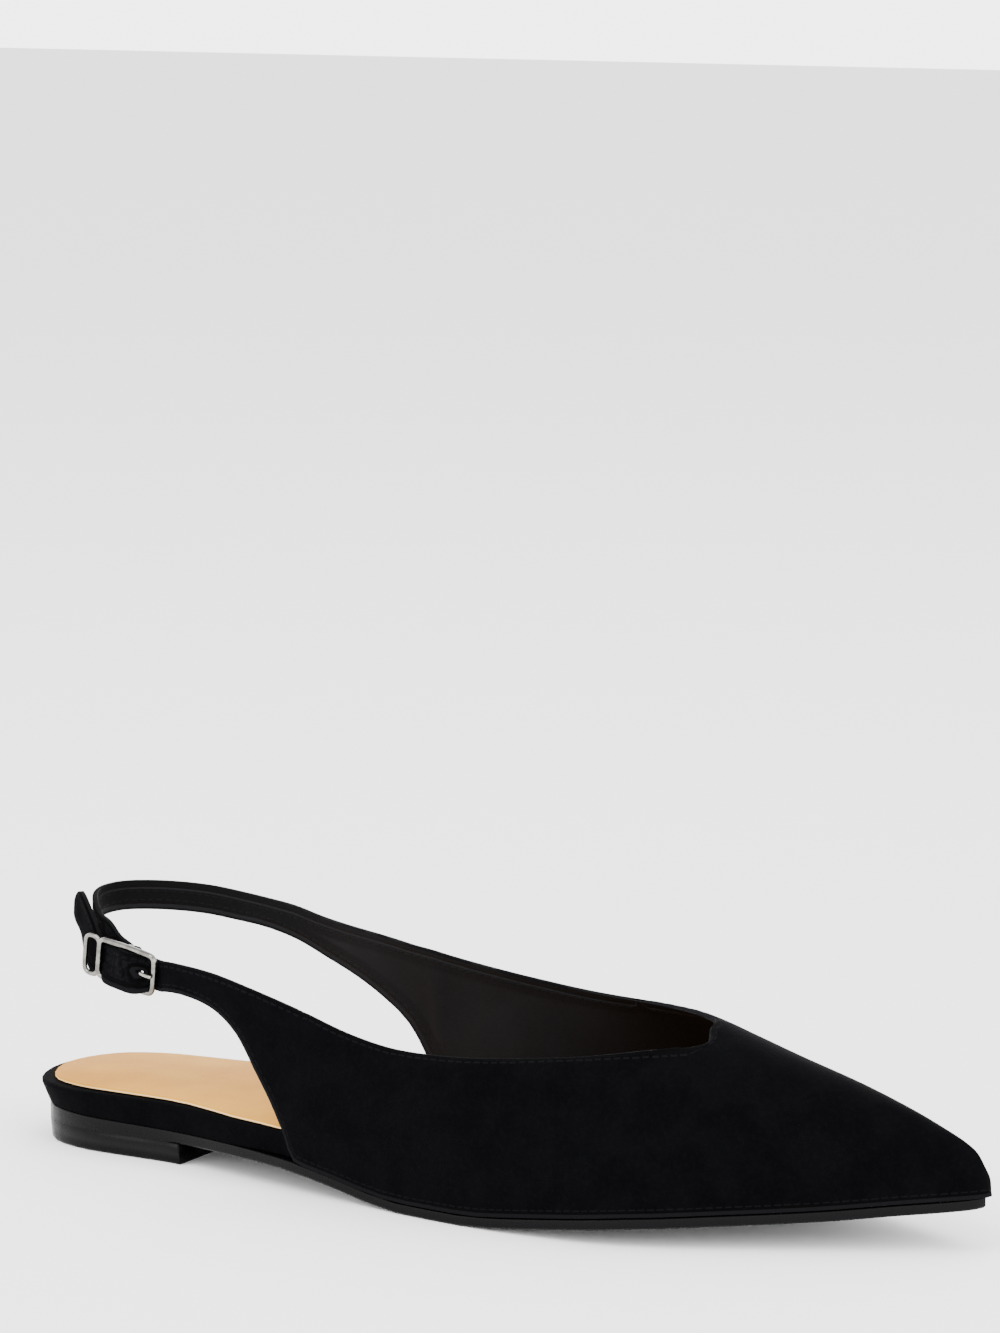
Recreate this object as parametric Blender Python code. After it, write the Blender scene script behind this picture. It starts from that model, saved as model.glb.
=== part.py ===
"""Pointed sling back flat, right foot, standing empty on its sole.

Run with: blender --background --python part.py
Units are metres, +Z is up, the toe points along +X and the outer side of the foot is -Y.
The origin is on the floor, at the centre of the heel block's flat face.
"""

import math
from typing import NamedTuple

import bmesh
import bpy
import numpy as np
from mathutils import Matrix

# Driving sizes
SHOE_LENGTH = 0.262
BALL_WIDTH = 0.076
THROAT_HEIGHT = 0.0475
STRAP_HEIGHT = 0.0645
HEEL_HEIGHT = 0.0052
HEEL_LENGTH = 0.050
TOE_SPRING = 0.0105
SOLE_THICKNESS = 0.0027
RIM_HEIGHT = 0.0070
RIM_OVERHANG = 0.0019
SOCK_THICKNESS = 0.0008
UPPER_WALL = 0.0015
STRAP_WIDTH = 0.0076
BUCKLE_LENGTH = 0.0198
END_LOOP_LENGTH = 0.0050
BUCKLE_WIRE = 0.0015
BAR_DIAMETER = 0.0014
PRONG_DIAMETER = 0.0010
BUCKLE_CORNER = 0.0018
BILLET_BULGE = 0.0020
PRONG_REACH = 0.0007
TAIL_LENGTH = 0.0150
NOSE_ROUND = 0.0045

# Places along the shoe, as shares of its length
THROAT_APEX = 0.738
THROAT_NEAR_END = 0.36
THROAT_FAR_END = 0.40
WING_FOOT = 0.335
WING_HEEL = 0.27
FOOTBED_END = 0.985
SOCK_END = 0.96
HEEL_CURVE = 0.12

# Clearances
GAP = 0.0003
STRAP_PLAY = 0.0004
SOLE_ROUND = 0.0005
HEEL_INSET = 0.0004
FOOTBED_INSET = 0.0009
FOOTBED_SWELL = 0.0004
BOARD_PLAY = 0.0012
SOCK_EDGE = 0.0014
UPPER_STAND_BACK = 0.0010
UPPER_STAND_FRONT = 0.0003

# How finely the curved pieces are cut into facets
SOLE_STEPS = 44
FRONT_STEPS = 18
THROAT_STEPS = 18
ACROSS_STEPS = 10
STRAP_STEP = 0.0034
WIRE_SIDES = 8

NEAR = -1.0
FAR = 1.0


class OutlineRow(NamedTuple):
    """Plan section of the sole: along as a share of the length, the rest of the ball width."""

    along: float
    centre: float
    half: float


OUTLINE = (
    OutlineRow(0.00, 0.033, 0.000),
    OutlineRow(0.04, 0.033, 0.250),
    OutlineRow(0.09, 0.037, 0.303),
    OutlineRow(0.17, 0.040, 0.318),
    OutlineRow(0.27, -0.014, 0.345),
    OutlineRow(0.38, -0.082, 0.360),
    OutlineRow(0.49, -0.093, 0.410),
    OutlineRow(0.60, -0.053, 0.487),
    OutlineRow(0.665, -0.038, 0.500),
    OutlineRow(0.72, -0.024, 0.472),
    OutlineRow(0.80, -0.003, 0.371),
    OutlineRow(0.87, 0.000, 0.255),
    OutlineRow(0.93, 0.002, 0.148),
    OutlineRow(0.97, 0.000, 0.080),
    OutlineRow(1.00, 0.000, 0.000),
)


class ProfileRow(NamedTuple):
    """Underside of the sole: heel and toe are shares of the heel lift and of the toe spring.

    board is the thickness of the footbed as a share of the rim height.
    """

    along: float
    heel: float
    toe: float
    board: float


PROFILE = (
    ProfileRow(0.00, 1.00, 0.00, 1.00),
    ProfileRow(0.195, 1.00, 0.00, 1.00),
    ProfileRow(0.25, 1.03, 0.00, 0.93),
    ProfileRow(0.31, 1.00, 0.00, 0.85),
    ProfileRow(0.36, 0.80, 0.00, 0.74),
    ProfileRow(0.40, 0.47, 0.00, 0.68),
    ProfileRow(0.44, 0.12, 0.00, 0.62),
    ProfileRow(0.47, 0.00, 0.00, 0.56),
    ProfileRow(0.54, 0.00, 0.00, 0.44),
    ProfileRow(0.58, 0.00, 0.08, 0.38),
    ProfileRow(0.62, 0.00, 0.19, 0.36),
    ProfileRow(0.66, 0.00, 0.30, 0.34),
    ProfileRow(0.70, 0.00, 0.40, 0.33),
    ProfileRow(0.74, 0.00, 0.475, 0.32),
    ProfileRow(0.80, 0.00, 0.57, 0.32),
    ProfileRow(0.87, 0.00, 0.69, 0.32),
    ProfileRow(0.93, 0.00, 0.835, 0.32),
    ProfileRow(1.00, 0.00, 1.00, 0.32),
)


class LastRow(NamedTuple):
    """Cross-section of the last that the upper follows, from the sole up to the ridge.

    ridge is where the section tops out, as a share of the length, and swing is how far the ridge
    stands beside the shoe's axis, as a share of the ball width. height is a share of the throat
    height. rise is the share of the section's height over which the side climbs, flare is how far
    the side leans out as a share of the ball width, and reach is the flatness of the crown as a
    share of the half width there.
    """

    along: float
    ridge: float
    swing: float
    height: float
    rise: float
    flare: float
    reach: float


LAST = (
    LastRow(0.36, 0.360, -0.030, 1.500, 0.50, 0.028, 0.95),
    LastRow(0.50, 0.500, -0.040, 1.380, 0.46, 0.028, 0.86),
    LastRow(0.60, 0.600, -0.050, 1.230, 0.40, 0.025, 0.70),
    LastRow(0.68, 0.680, -0.054, 1.095, 0.36, 0.022, 0.58),
    LastRow(0.74, 0.740, -0.046, 1.000, 0.35, 0.020, 0.55),
    LastRow(0.80, 0.799, -0.032, 0.893, 0.35, 0.018, 0.55),
    LastRow(0.87, 0.868, -0.014, 0.777, 0.37, 0.018, 0.56),
    LastRow(0.93, 0.926, -0.004, 0.661, 0.40, 0.018, 0.58),
    LastRow(0.96, 0.951, 0.000, 0.602, 0.42, 0.016, 0.58),
    LastRow(0.985, 0.970, 0.000, 0.556, 0.44, 0.014, 0.58),
    LastRow(1.00, 0.980, 0.000, 0.526, 0.46, 0.012, 0.58),
)


class ThroatRow(NamedTuple):
    """How far up each section the upper reaches, as a share of the way to the ridge."""

    along: float
    near: float
    far: float


THROAT = (
    ThroatRow(0.360, 0.416, 0.538),
    ThroatRow(0.400, 0.403, 0.543),
    ThroatRow(0.440, 0.405, 0.545),
    ThroatRow(0.480, 0.419, 0.547),
    ThroatRow(0.520, 0.445, 0.555),
    ThroatRow(0.560, 0.486, 0.577),
    ThroatRow(0.600, 0.535, 0.619),
    ThroatRow(0.640, 0.591, 0.681),
    ThroatRow(0.670, 0.648, 0.745),
    ThroatRow(0.690, 0.693, 0.805),
    ThroatRow(0.710, 0.741, 0.870),
    ThroatRow(0.725, 0.785, 0.925),
    ThroatRow(0.734, 0.830, 0.965),
    ThroatRow(0.738, 1.000, 1.000),
)


class WingRow(NamedTuple):
    """Slanted section of a side wing, from its free back edge to the topline.

    x is a share of the length, y of the ball width and z of the strap height.
    """

    low_x: float
    low_y: float
    low_z: float
    top_x: float
    top_y: float
    top_z: float
    bulge: float


NEAR_WING = (
    WingRow(0.344, 0.427, 0.126, 0.352, 0.412, 0.706, 0.020),
    WingRow(0.331, 0.414, 0.222, 0.338, 0.409, 0.721, 0.018),
    WingRow(0.316, 0.413, 0.345, 0.320, 0.405, 0.740, 0.014),
    WingRow(0.297, 0.407, 0.465, 0.299, 0.398, 0.760, 0.010),
    WingRow(0.277, 0.393, 0.580, 0.276, 0.388, 0.779, 0.006),
    WingRow(0.249, 0.370, 0.657, 0.247, 0.368, 0.797, 0.003),
    WingRow(0.216, 0.342, 0.689, 0.216, 0.341, 0.805, 0.001),
)

FAR_WING = (
    WingRow(0.387, 0.293, 0.155, 0.387, 0.257, 0.822, 0.022),
    WingRow(0.380, 0.297, 0.264, 0.376, 0.258, 0.828, 0.020),
    WingRow(0.369, 0.295, 0.397, 0.361, 0.259, 0.836, 0.016),
    WingRow(0.352, 0.293, 0.508, 0.345, 0.261, 0.847, 0.012),
    WingRow(0.328, 0.290, 0.592, 0.322, 0.263, 0.862, 0.008),
    WingRow(0.300, 0.292, 0.662, 0.294, 0.268, 0.877, 0.005),
    WingRow(0.261, 0.300, 0.732, 0.256, 0.279, 0.901, 0.002),
    WingRow(0.223, 0.308, 0.793, 0.223, 0.292, 0.929, 0.000),
)


class StrapRow(NamedTuple):
    """Centre of the strap: x is a share of the length, y of the ball width, z of the strap height."""

    x: float
    y: float
    z: float


NEAR_STRAP = (
    StrapRow(0.179, -0.308, 0.749),
)

SLING = (
    StrapRow(0.191, 0.309, 0.881),
    StrapRow(0.155, 0.314, 0.896),
    StrapRow(0.122, 0.300, 0.912),
    StrapRow(0.092, 0.271, 0.920),
    StrapRow(0.0645, 0.226, 0.924),
    StrapRow(0.0435, 0.162, 0.925),
    StrapRow(0.0366, 0.072, 0.921),
    StrapRow(0.0427, -0.007, 0.911),
    StrapRow(0.0557, -0.074, 0.896),
    StrapRow(0.0725, -0.145, 0.868),
)

# The buckle's middle, in the same shares, and how its strap runs there
BUCKLE_PLACE = StrapRow(0.1310, -0.273, 0.762)
BUCKLE_TURN = math.radians(-13.2)
BUCKLE_SLOPE = math.radians(-6.4)


class TailRow(NamedTuple):
    """Free end of the near strap past the buckle's left bar.

    back is the way past that bar as a share of the tail's length, up and out are shares of the strap
    width, and width is the share of the strap's full width.
    """

    back: float
    up: float
    out: float
    width: float


class JointRow(NamedTuple):
    """Sling strap under the near strap: back is a share of half the buckle, up of the strap width."""

    back: float
    up: float


JOINT = (
    JointRow(1.00, 0.56),
    JointRow(0.72, 0.30),
    JointRow(0.42, 0.04),
    JointRow(0.22, 0.00),
)

# The prong from its ring to the front bar: share of half the buckle, share of the climb
PRONG_PATH = (
    (0.13, 0.00),
    (0.26, -0.04),
    (0.38, 0.02),
    (0.48, 0.30),
    (0.56, 0.66),
    (0.65, 0.90),
    (0.80, 1.00),
)
PRONG_HOLE = 0.515

# Directions of the sections where the sling strap turns round the middle bar, in degrees
WRAP_TURNS = (90, 65, 35, 0, -35, -65, -90)

TAIL = (
    TailRow(0.22, 0.12, 0.000, 1.00),
    TailRow(0.46, 0.72, -0.090, 1.00),
    TailRow(0.66, 1.06, -0.240, 1.00),
    TailRow(0.82, 1.38, -0.400, 0.74),
    TailRow(0.96, 1.64, -0.560, 0.16),
)


class Look(NamedTuple):
    """Colour and finish of one piece."""

    colour: tuple
    roughness: float
    metallic: float


LOOKS = {
    "black_suede": Look((0.0045, 0.0045, 0.0055), 0.92, 0.0),
    "suede_binding": Look((0.0060, 0.0060, 0.0070), 0.88, 0.0),
    "glossy_sole": Look((0.0080, 0.0080, 0.0085), 0.28, 0.0),
    "glossy_heel": Look((0.0080, 0.0080, 0.0085), 0.26, 0.0),
    "beige_sock": Look((0.730, 0.480, 0.245), 0.55, 0.0),
    "nickel": Look((0.700, 0.690, 0.670), 0.24, 1.0),
    "nickel_prong": Look((0.690, 0.680, 0.660), 0.26, 1.0),
}


def clear_scene():
    """Remove the objects of the open file."""
    for old in list(bpy.data.objects):
        bpy.data.objects.remove(old, do_unlink=True)


def monotone(xs, ys, x):
    """Value at x of the smooth curve through a table that never overshoots its rows."""
    xs = np.asarray(xs, dtype=float)
    ys = np.asarray(ys, dtype=float)
    steps = np.diff(xs)
    slopes = np.diff(ys) / steps
    tangents = np.empty_like(ys)
    tangents[0] = slopes[0]
    tangents[-1] = slopes[-1]
    for i in range(1, len(xs) - 1):
        if slopes[i - 1] * slopes[i] <= 0.0:
            tangents[i] = 0.0
        else:
            before = 2.0 * steps[i] + steps[i - 1]
            after = steps[i] + 2.0 * steps[i - 1]
            tangents[i] = (before + after) / (before / slopes[i - 1] + after / slopes[i])
    i = int(np.clip(np.searchsorted(xs, x) - 1, 0, len(xs) - 2))
    t = min(max((x - xs[i]) / steps[i], 0.0), 1.0)
    start = (1.0 + 2.0 * t) * (1.0 - t) ** 2 * ys[i] + t * (1.0 - t) ** 2 * steps[i] * tangents[i]
    end = t * t * (3.0 - 2.0 * t) * ys[i + 1] - t * t * (1.0 - t) * steps[i] * tangents[i + 1]
    return start + end


def column(rows, name, along):
    """Read one column of a table at a share of the shoe's length."""
    return monotone([row.along for row in rows], [getattr(row, name) for row in rows], along)


def sole_centre(along):
    """Distance of the outline's middle from the shoe's axis."""
    return column(OUTLINE, "centre", along) * BALL_WIDTH


def sole_half(along):
    """Half the width of the outline, read by angle so that heel and toe end round."""
    angles = [math.acos(1.0 - 2.0 * row.along) for row in OUTLINE]
    halves = [row.half for row in OUTLINE]
    return monotone(angles, halves, math.acos(max(-1.0, 1.0 - 2.0 * along))) * BALL_WIDTH


def outline_point(along, side):
    """Point of the sole's outline in plan."""
    return np.array([along * SHOE_LENGTH, sole_centre(along) + side * sole_half(along)])


def outline_normal(along, side):
    """Outward direction of the outline in plan."""
    step = 0.002
    before = outline_point(max(along - step, 0.0), side)
    after = outline_point(min(along + step, 1.0), side)
    if along <= 0.0:
        return np.array([-1.0, 0.0])
    if along >= 1.0:
        return np.array([1.0, 0.0])
    way = after - before
    way /= np.linalg.norm(way)
    return side * np.array([-way[1], way[0]])


def sole_bottom(along):
    """Height of the outsole's underside."""
    lift = column(PROFILE, "heel", along) * (HEEL_HEIGHT + GAP)
    return lift + column(PROFILE, "toe", along) * TOE_SPRING


def sole_top(along):
    """Height of the outsole's upper face."""
    return sole_bottom(along) + SOLE_THICKNESS


def footbed_top(along):
    """Height of the footbed's upper face."""
    return sole_top(along) + GAP + column(PROFILE, "board", along) * RIM_HEIGHT


def ease(value, low, high):
    """Smooth step from 0 at low to 1 at high."""
    t = min(max((value - low) / (high - low), 0.0), 1.0)
    return t * t * (3.0 - 2.0 * t)


def add_material(name):
    """Make the Principled material of one piece."""
    look = LOOKS[name]
    material = bpy.data.materials.new(name)
    material.use_nodes = True
    shader = material.node_tree.nodes["Principled BSDF"]
    shader.inputs["Base Color"].default_value = (*look.colour, 1.0)
    shader.inputs["Roughness"].default_value = look.roughness
    shader.inputs["Metallic"].default_value = look.metallic
    material.diffuse_color = (*look.colour, 1.0)
    return material


def mesh_object(name, points, faces, look):
    """Make a smooth object from points and faces, with coinciding points joined."""
    mesh = bpy.data.meshes.new(name)
    mesh.from_pydata([tuple(point) for point in points], [], faces)
    work = bmesh.new()
    work.from_mesh(mesh)
    bmesh.ops.remove_doubles(work, verts=work.verts, dist=0.00001)
    bmesh.ops.dissolve_degenerate(work, dist=0.000001, edges=work.edges)
    bmesh.ops.recalc_face_normals(work, faces=work.faces)
    for face in work.faces:
        face.smooth = True
    work.to_mesh(mesh)
    work.free()
    mesh.materials.append(add_material(look))
    piece = bpy.data.objects.new(name, mesh)
    bpy.context.scene.collection.objects.link(piece)
    return piece


def stations(end):
    """Shares of the length from the back to end, closer together where the outline turns.

    All the flat pieces share them, so that their faces stay parallel.
    """
    whole = [(1.0 - math.cos(math.pi * k / SOLE_STEPS)) / 2.0 for k in range(SOLE_STEPS + 1)]
    return [share for share in whole if share < end - 0.002] + [end]


def slab(name, shares, rings, look):
    """Lay a solid between two faces that follow the sole.

    Each ring is a pair of functions of the share of the length: its inset from the outline and its
    height. The first ring is the underside's edge and the last one is the top's.
    """
    points = []
    for inset, height in rings:
        for side in (NEAR, FAR):
            for along in shares:
                plan = outline_point(along, side) - outline_normal(along, side) * inset(along)
                points.append((plan[0], plan[1], height(along)))
    count = len(shares)

    def index(ring, side, k):
        return (2 * ring + side) * count + k

    faces = []
    last = len(rings) - 1
    for k in range(count - 1):
        faces.append((index(0, 0, k), index(0, 0, k + 1), index(0, 1, k + 1), index(0, 1, k)))
        faces.append((index(last, 0, k), index(last, 1, k), index(last, 1, k + 1), index(last, 0, k + 1)))
        for ring in range(last):
            for side in (0, 1):
                faces.append((
                    index(ring, side, k), index(ring, side, k + 1),
                    index(ring + 1, side, k + 1), index(ring + 1, side, k),
                ))
    for ring in range(last):
        for k in (0, count - 1):
            faces.append((index(ring, 0, k), index(ring, 1, k), index(ring + 1, 1, k), index(ring + 1, 0, k)))
    return mesh_object(name, points, faces, look)


def make_outsole():
    """Thin glossy sole with rounded edges."""
    rings = (
        (lambda along: SOLE_ROUND, sole_bottom),
        (lambda along: 0.0, lambda along: sole_bottom(along) + SOLE_ROUND),
        (lambda along: 0.0, lambda along: sole_top(along) - SOLE_ROUND / 2.0),
        (lambda along: SOLE_ROUND / 2.0, sole_top),
    )
    return slab("outsole", stations(1.0), rings, "glossy_sole")


def make_heel():
    """Low block that fills the space under the back of the sole, flat below and in front."""
    rings = (
        (lambda along: HEEL_INSET + SOLE_ROUND, lambda along: 0.0),
        (lambda along: HEEL_INSET, lambda along: SOLE_ROUND),
        (lambda along: HEEL_INSET, lambda along: sole_bottom(along) - GAP),
    )
    return slab("heel", stations(HEEL_LENGTH / SHOE_LENGTH), rings, "glossy_heel")


def inside_upper(along):
    """Share of the step from the bare rim to the board inside the upper."""
    return ease(along, WING_HEEL, WING_FOOT - 0.01)


def footbed_low_inset(along):
    """Inset of the footbed's underside from the sole's outline."""
    inside = UPPER_WALL + BOARD_PLAY - upper_offset(along)
    return FOOTBED_INSET + inside_upper(along) * (inside - FOOTBED_INSET)


def footbed_high_inset(along):
    """Inset of the footbed's top edge, which flares out behind the heel."""
    flare = RIM_OVERHANG * (1.0 - ease(along, 0.0, HEEL_CURVE))
    flare += FOOTBED_SWELL * (1.0 - inside_upper(along))
    return footbed_low_inset(along) - FOOTBED_INSET * (1.0 - inside_upper(along)) - flare


def make_footbed():
    """Board wrapped in suede, with a soft top edge."""
    soft = SOLE_ROUND * 1.6

    def shoulder(along):
        return footbed_top(along) - soft * 0.7

    rings = (
        (footbed_low_inset, lambda along: sole_top(along) + GAP),
        (footbed_high_inset, shoulder),
        (lambda along: footbed_high_inset(along) + soft, footbed_top),
    )
    return slab("footbed", stations(FOOTBED_END), rings, "suede_binding")


def sock_inset(along):
    """Inset of the sock's edge from the sole's outline."""
    back = RIM_OVERHANG * 0.6 * (1.0 - ease(along, 0.0, HEEL_CURVE))
    return footbed_high_inset(along) + SOCK_EDGE + back


def make_sock():
    """Smooth beige sock that lies on the footbed."""
    rings = (
        (sock_inset, lambda along: footbed_top(along) + GAP),
        (sock_inset, lambda along: footbed_top(along) + GAP + SOCK_THICKNESS * 0.6),
        (lambda along: sock_inset(along) + SOCK_THICKNESS / 2.0,
         lambda along: footbed_top(along) + GAP + SOCK_THICKNESS),
    )
    return slab("sock", stations(SOCK_END), rings, "beige_sock")


def upper_offset(along):
    """How far the foot of the upper stands out over the sole's outline."""
    return UPPER_STAND_BACK + (UPPER_STAND_FRONT - UPPER_STAND_BACK) * ease(along, 0.36, 0.55)


def ridge_point(along):
    """Top of a section of the last."""
    return np.array([
        column(LAST, "ridge", along) * SHOE_LENGTH,
        column(LAST, "swing", along) * BALL_WIDTH,
        column(LAST, "height", along) * THROAT_HEIGHT,
    ])


def ridge_way(along):
    """Direction in which the ridge runs towards the toe."""
    step = 0.004
    way = ridge_point(min(along + step, 1.0)) - ridge_point(along - step)
    return way / np.linalg.norm(way)


def last_rib(along, side):
    """Four control points of a section of the last, from the sole to the ridge."""
    normal = outline_normal(along, side)
    plan = outline_point(along, side) + normal * upper_offset(along)
    low = np.array([plan[0], plan[1], sole_top(along) + GAP])
    top = ridge_point(along)
    rise = column(LAST, "rise", along) * (top[2] - low[2])
    flare = column(LAST, "flare", along) * BALL_WIDTH
    side_handle = low + np.array([normal[0] * flare, normal[1] * flare, rise])
    side_handle[0] += (top[0] - low[0]) * column(LAST, "rise", along)
    reach = column(LAST, "reach", along) * sole_half(along)
    crown_handle = top + ridge_way(along) * normal[0] * NOSE_ROUND + np.array([0.0, side * reach, 0.0])
    return np.array([low, side_handle, crown_handle, top])


def cut_rib(rib, share):
    """Keep the part of a section from its foot up to a share of the way."""
    a = rib[0] + (rib[1] - rib[0]) * share
    b = rib[1] + (rib[2] - rib[1]) * share
    c = rib[2] + (rib[3] - rib[2]) * share
    d = a + (b - a) * share
    e = b + (c - b) * share
    return np.array([rib[0], a, d, d + (e - d) * share])


def throat_cut(along, side):
    """Share of a section that the upper keeps."""
    return column(THROAT, "near" if side == NEAR else "far", along)


def wing_rib(row, side):
    """Section of a side wing."""
    low = np.array([row.low_x * SHOE_LENGTH, side * row.low_y * BALL_WIDTH, row.low_z * STRAP_HEIGHT])
    top = np.array([row.top_x * SHOE_LENGTH, side * row.top_y * BALL_WIDTH, row.top_z * STRAP_HEIGHT])
    out = np.array([0.0, side * row.bulge * BALL_WIDTH, 0.0])
    return np.array([low, low + (top - low) / 3.0 + out, low + (top - low) * 2.0 / 3.0 + out, top])


def flat_rib(centre, up, width):
    """Straight section of a strap."""
    ends = (-0.5, -1.0 / 6.0, 1.0 / 6.0, 0.5)
    return np.array([centre + up * width * end for end in ends])


def strap_point(row):
    """Place of a strap row."""
    return np.array([row.x * SHOE_LENGTH, row.y * BALL_WIDTH, row.z * STRAP_HEIGHT])


class BuckleFrame:
    """Place and directions of the buckle: forward along the strap, up across it, and outward."""

    def __init__(self):
        self.origin = strap_point(BUCKLE_PLACE)
        flat = np.array([math.cos(BUCKLE_TURN), math.sin(BUCKLE_TURN), 0.0])
        self.forward = flat * math.cos(BUCKLE_SLOPE) + np.array([0.0, 0.0, math.sin(BUCKLE_SLOPE)])
        self.out = np.array([math.sin(BUCKLE_TURN), -math.cos(BUCKLE_TURN), 0.0])
        self.up = np.cross(self.out, self.forward)
        self.up *= math.copysign(1.0, self.up[2])

    def point(self, forward, up, out):
        """World point of a place given in the buckle's own directions."""
        return self.origin + self.forward * forward + self.up * up + self.out * out


def half_buckle():
    """Distance from the middle bar to the front or the left bar."""
    return BUCKLE_LENGTH / 2.0


def billet_out(forward):
    """Height of the near strap's outer face over the plane of the buckle's bars."""
    under = -(BUCKLE_WIRE / 2.0 + GAP)
    wave = math.cos(math.pi / 2.0 * min(abs(forward) / half_buckle(), 1.0)) ** 2
    return under + (BILLET_BULGE - under) * wave


def bar_depth():
    """Depth of the middle bar's axis under the plane of the buckle's bars."""
    return billet_out(0.0) - UPPER_WALL - GAP - wrap_radius()


def wrap_radius():
    """Outer radius of the sling strap where it turns round the middle bar."""
    return BAR_DIAMETER / 2.0 + GAP + UPPER_WALL


def strap_ribs(path, widths, side):
    """Sections square to a strap's path, standing upright."""
    ribs = []
    for i, place in enumerate(path):
        way = path[min(i + 1, len(path) - 1)] - path[max(i - 1, 0)]
        way /= np.linalg.norm(way)
        out = side * np.cross(way, (0.0, 0.0, 1.0))
        out /= np.linalg.norm(out)
        ribs.append(flat_rib(place, side * np.cross(out, way), widths[i]))
    return ribs


def near_strap_ribs(buckle):
    """Sections of the near strap from the wing through the buckle to the tip of its tail."""
    path = [strap_point(row) for row in NEAR_STRAP]
    reach = half_buckle()
    for share in (1.15, 1.0, 0.75, 0.5, 0.25, 0.0, -0.25, -0.5, -0.75, -1.0):
        path.append(buckle.point(share * reach, 0.0, billet_out(share * reach)))
    widths = [STRAP_WIDTH] * len(path)
    for row in TAIL:
        out = billet_out(reach) + row.out * STRAP_WIDTH
        path.append(buckle.point(-reach - row.back * TAIL_LENGTH, row.up * STRAP_WIDTH, out))
        widths.append(STRAP_WIDTH * row.width)
    return strap_ribs(path, widths, NEAR)


def sling_out(forward):
    """Height of the sling strap's outer face where it lies under the near strap."""
    return billet_out(forward) - UPPER_WALL - GAP


def sling_ribs(buckle):
    """Sections of the sling strap from the far wing round the heel and the buckle's middle bar."""
    path = [strap_point(row) for row in SLING]
    reach = half_buckle()
    for row in JOINT:
        forward = -row.back * reach
        path.append(buckle.point(forward, row.up * STRAP_WIDTH, sling_out(forward)))
    ribs = strap_ribs(path, [STRAP_WIDTH] * len(path), FAR)
    radius = wrap_radius()
    depth = bar_depth()
    for degrees in WRAP_TURNS:
        angle = math.radians(degrees)
        centre = buckle.point(radius * math.cos(angle), 0.0, depth + radius * math.sin(angle))
        ribs.append(flat_rib(centre, buckle.up, STRAP_WIDTH))
    for share in (0.35, 0.75):
        ribs.append(flat_rib(buckle.point(-reach * share, 0.0, depth - radius), buckle.up, STRAP_WIDTH))
    return ribs


def smooth_ribs(ribs, first, step):
    """Sections at even steps on the smooth curve through given ones, starting from number first."""
    ribs = np.array(ribs)
    gaps = np.linalg.norm(np.diff(ribs, axis=0), axis=2).mean(axis=1)
    slopes = np.diff(ribs, axis=0) / gaps[:, None, None]
    tangents = np.empty_like(ribs)
    tangents[0] = slopes[0]
    tangents[-1] = slopes[-1]
    for i in range(1, len(ribs) - 1):
        share = gaps[i - 1] / (gaps[i - 1] + gaps[i])
        tangents[i] = slopes[i - 1] * (1.0 - share) + slopes[i] * share
    out = []
    for i in range(first, len(ribs) - 1):
        parts = max(1, round(gaps[i] / step))
        for k in range(1, parts + 1):
            t = k / parts
            value = (1.0 + 2.0 * t) * (1.0 - t) ** 2 * ribs[i]
            value = value + t * (1.0 - t) ** 2 * gaps[i] * tangents[i]
            value = value + t * t * (3.0 - 2.0 * t) * ribs[i + 1]
            value = value - t * t * (1.0 - t) * gaps[i] * tangents[i + 1]
            out.append(value)
    return out


def side_ribs(side, buckle):
    """All sections of one side of the upper, from the tip of the toe to the end of its strap.

    The second list holds the share of the way to the ridge that each section keeps.
    """
    ribs = []
    for k in range(FRONT_STEPS + 1):
        ribs.append(last_rib(1.0 - (1.0 - THROAT_APEX) * (k / FRONT_STEPS) ** 1.6, side))
    cuts = [1.0] * len(ribs)
    back = THROAT_NEAR_END if side == NEAR else THROAT_FAR_END
    for k in range(1, THROAT_STEPS + 1):
        along = THROAT_APEX + (back - THROAT_APEX) * (k / THROAT_STEPS) ** 1.5
        cuts.append(throat_cut(along, side))
        ribs.append(cut_rib(last_rib(along, side), cuts[-1]))
    knots = ribs[-2:]
    if side == NEAR:
        knots = knots + [wing_rib(row, side) for row in NEAR_WING] + near_strap_ribs(buckle)
    else:
        knots = knots + [wing_rib(row, side) for row in FAR_WING] + sling_ribs(buckle)
    rest = smooth_ribs(knots, 1, STRAP_STEP)
    return ribs + rest, cuts + [0.0] * len(rest)


def rib_points(rib, kept):
    """Points along one section: near the throat they crowd at the edge, so that the rest stay put."""
    points = []
    crowd = ease(kept, 0.55, 0.85)
    for k in range(ACROSS_STEPS + 1):
        t = k / ACROSS_STEPS
        if crowd > 0.0:
            t = t * (1.0 - crowd) + crowd * (t - (1.0 - kept) * t ** 3) / kept
        s = 1.0 - t
        points.append(s ** 3 * rib[0] + 3.0 * s * s * t * rib[1] + 3.0 * s * t * t * rib[2] + t ** 3 * rib[3])
    return points


def grid_normals(grid, side):
    """Outward directions of a grid of points."""
    along = np.gradient(grid, axis=0)
    across = np.gradient(grid, axis=1)
    normals = np.cross(along, across) * side
    lengths = np.linalg.norm(normals, axis=2, keepdims=True)
    return normals / np.maximum(lengths, 1e-12)


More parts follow.
